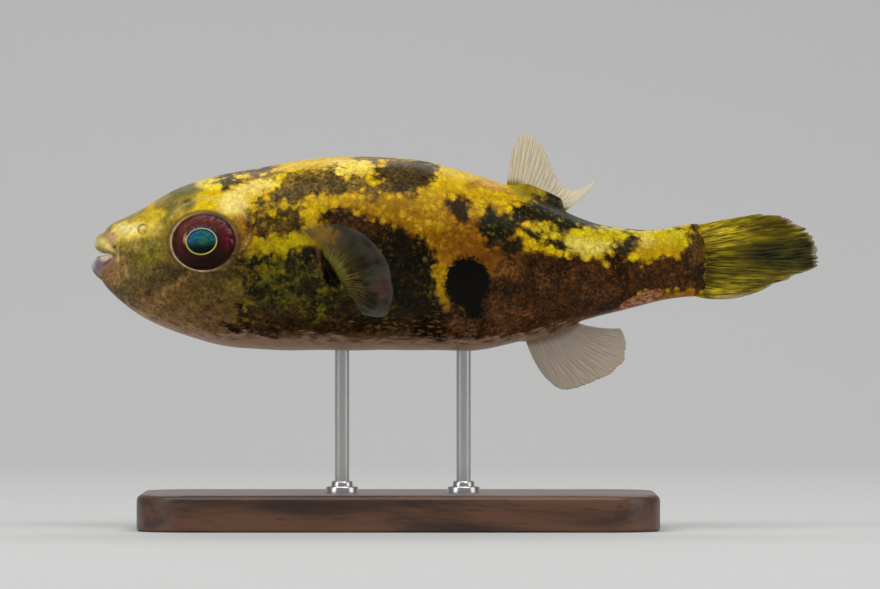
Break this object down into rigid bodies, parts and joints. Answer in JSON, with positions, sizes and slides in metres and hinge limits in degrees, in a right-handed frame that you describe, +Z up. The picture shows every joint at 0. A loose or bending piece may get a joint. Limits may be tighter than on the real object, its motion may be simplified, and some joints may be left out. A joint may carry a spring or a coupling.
{
  "type": "ocellated freshwater pufferfish model on a display stand",
  "caption": "Life-size freshwater pufferfish with blotched flanks and fanned fins, held level by slim rods over a plain flat base.",
  "frame": {"origin": "centre of the model's box in plan, on the underside of the stand's base", "axes": "+X from the snout to the tail fin, +Z up, the fish's left side faces -Y"},
  "size_m": [0.09, 0.034, 0.049],
  "materials": {
    "skin": "wet satin skin, yellow with dark brown blotches and a pale belly",
    "lip": "wet satin, pale",
    "eye": "glossy, dark red iris with a gold-ringed blue-green pupil",
    "fin": "thin, ribbed and slightly translucent",
    "tail_fin": "thin, ribbed, olive yellow with dark streaks",
    "stand_wood": "dark stained, satin varnish",
    "stand_steel": "brushed"
  },
  "bodies": {
    "root": {"head": "skin", "trunk": "skin", "tail_stem": "skin", "upper_lip": "lip", "lower_lip": "lip", "eye_left": "eye", "eye_right": "eye", "pectoral_fin_left": "fin", "pectoral_fin_right": "fin", "dorsal_fin": "fin", "anal_fin": "fin", "caudal_fin": "tail_fin", "stand_base": "stand_wood", "stand_rod_front": "stand_steel", "stand_rod_rear": "stand_steel"}
  },
  "joints": []
}
